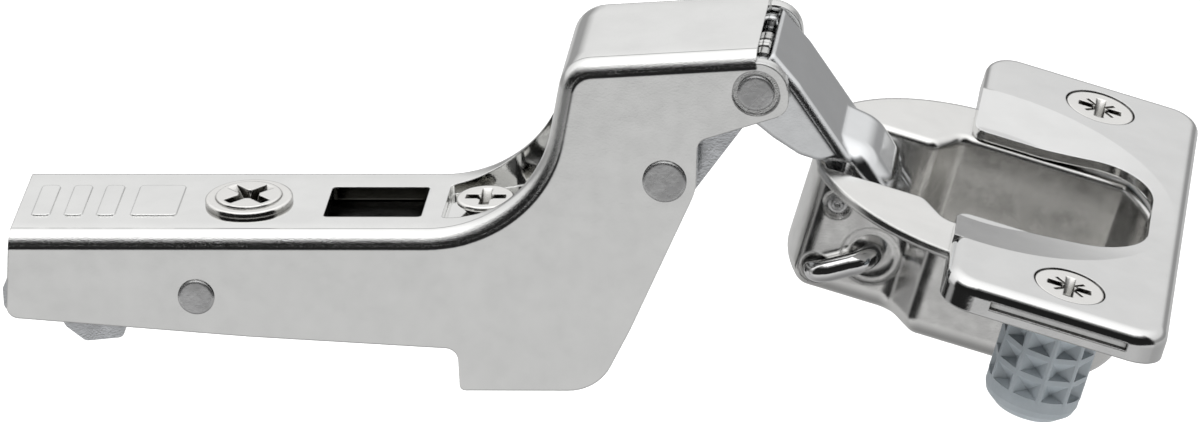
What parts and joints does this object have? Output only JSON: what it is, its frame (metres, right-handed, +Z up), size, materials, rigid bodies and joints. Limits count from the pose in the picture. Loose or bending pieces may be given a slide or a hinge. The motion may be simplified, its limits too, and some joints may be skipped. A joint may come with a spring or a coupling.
{
  "type": "cranked concealed hinge",
  "caption": "Cranked concealed cabinet hinge: folded clip-on arm, two links, cup with wide flange plate, dowels and adjusting screws.",
  "frame": {"origin": "middle of the clip carrier's seat on the mounting plate, straight below the rear pin", "axes": "+X from the arm's rear end to the cup, +Z up away from the mounting plate, +Y across the arm; the hinge is fully open"},
  "size_m": [0.1189, 0.0574, 0.0364],
  "materials": {
    "arm_plate": "bright nickel-plated folded sheet",
    "cup_plate": "bright nickel-plated drawn sheet",
    "link_plate": "satin nickel-plated sheet",
    "rivet": "plain turned steel",
    "screw": "bright plated steel",
    "polished_wire": "polished drawn wire",
    "spring_wire": "plain spring wire",
    "dowel_plastic": "matte grey-blue moulded plastic"
  },
  "bodies": {
    "arm": {"hinge_arm": "arm_plate", "pin_a": "rivet", "pin_b": "rivet", "closing_spring": "spring_wire", "spring_bush_near": "rivet", "spring_bush_far": "rivet", "side_screw_nut": "rivet"},
    "outer_link": {"outer_link": "link_plate"},
    "inner_link": {"inner_link": "link_plate"},
    "cup": {"cup": "cup_plate", "flange_plate": "cup_plate", "u_pin": "polished_wire", "pin_g": "rivet", "flange_screw_near": "screw", "flange_screw_far": "screw", "dowel_near": "dowel_plastic", "dowel_far": "dowel_plastic"},
    "rear_pin": {"rear_pin": "rivet"},
    "carrier": {"clip_carrier": "link_plate", "latch_pin": "rivet", "latch_spring": "spring_wire"},
    "latch_lever": {"latch_lever": "link_plate"},
    "depth_cam_screw": {"depth_cam_screw": "screw"},
    "side_screw": {"side_screw": "screw"}
  },
  "joints": [
    {"name": "outer_turn", "type": "hinge", "parent": "arm", "child": "outer_link", "pos_m": [0.05725, 0, 0.02578], "axis": [0, 1, 0], "range_deg": [0, 23]},
    {"name": "cup_turn", "type": "hinge", "parent": "outer_link", "child": "cup", "pos_m": [0.0679, 0, 0.00795], "axis": [0, -1, 0], "range_deg": [0, 130.4]},
    {"name": "inner_turn", "type": "hinge", "parent": "arm", "child": "inner_link", "pos_m": [0.04775, 0, 0.01633], "axis": [0, 1, 0], "range_deg": [0, 56]},
    {"name": "side_tilt", "type": "hinge", "parent": "arm", "child": "rear_pin", "pos_m": [0, 0, 0.00372], "axis": [0, 1, 0], "range_deg": [-1.5, 1.5]},
    {"name": "depth_adjust", "type": "slide", "parent": "rear_pin", "child": "carrier", "axis": [1, 0, 0], "range_m": [-0.0015, 0.0015]},
    {"name": "latch_turn", "type": "hinge", "parent": "carrier", "child": "latch_lever", "pos_m": [-0.0126, 0, 0.0042], "axis": [0, 1, 0], "range_deg": [0, 12], "stiffness_Nm_per_rad": 0.05},
    {"name": "depth_cam_turn", "type": "hinge", "parent": "arm", "child": "depth_cam_screw", "pos_m": [0.0046, 0, 0.0105], "axis": [0, 0, 1], "range_deg": [-64, 64]},
    {"name": "side_screw_turn", "type": "hinge", "parent": "arm", "child": "side_screw", "pos_m": [0.0286, 0, 0.005], "axis": [0, 0, 1], "range_deg": [-400, 400]}
  ],
  "couplings": [
    {"joint": "outer_turn", "follows": "cup_turn", "ratio": 0.1687},
    {"joint": "inner_turn", "follows": "cup_turn", "ratio": 0.4141},
    {"joint": "depth_cam_turn", "follows": "depth_adjust", "rad_per_m": 656.7},
    {"joint": "side_screw_turn", "follows": "side_tilt", "ratio": 240}
  ]
}
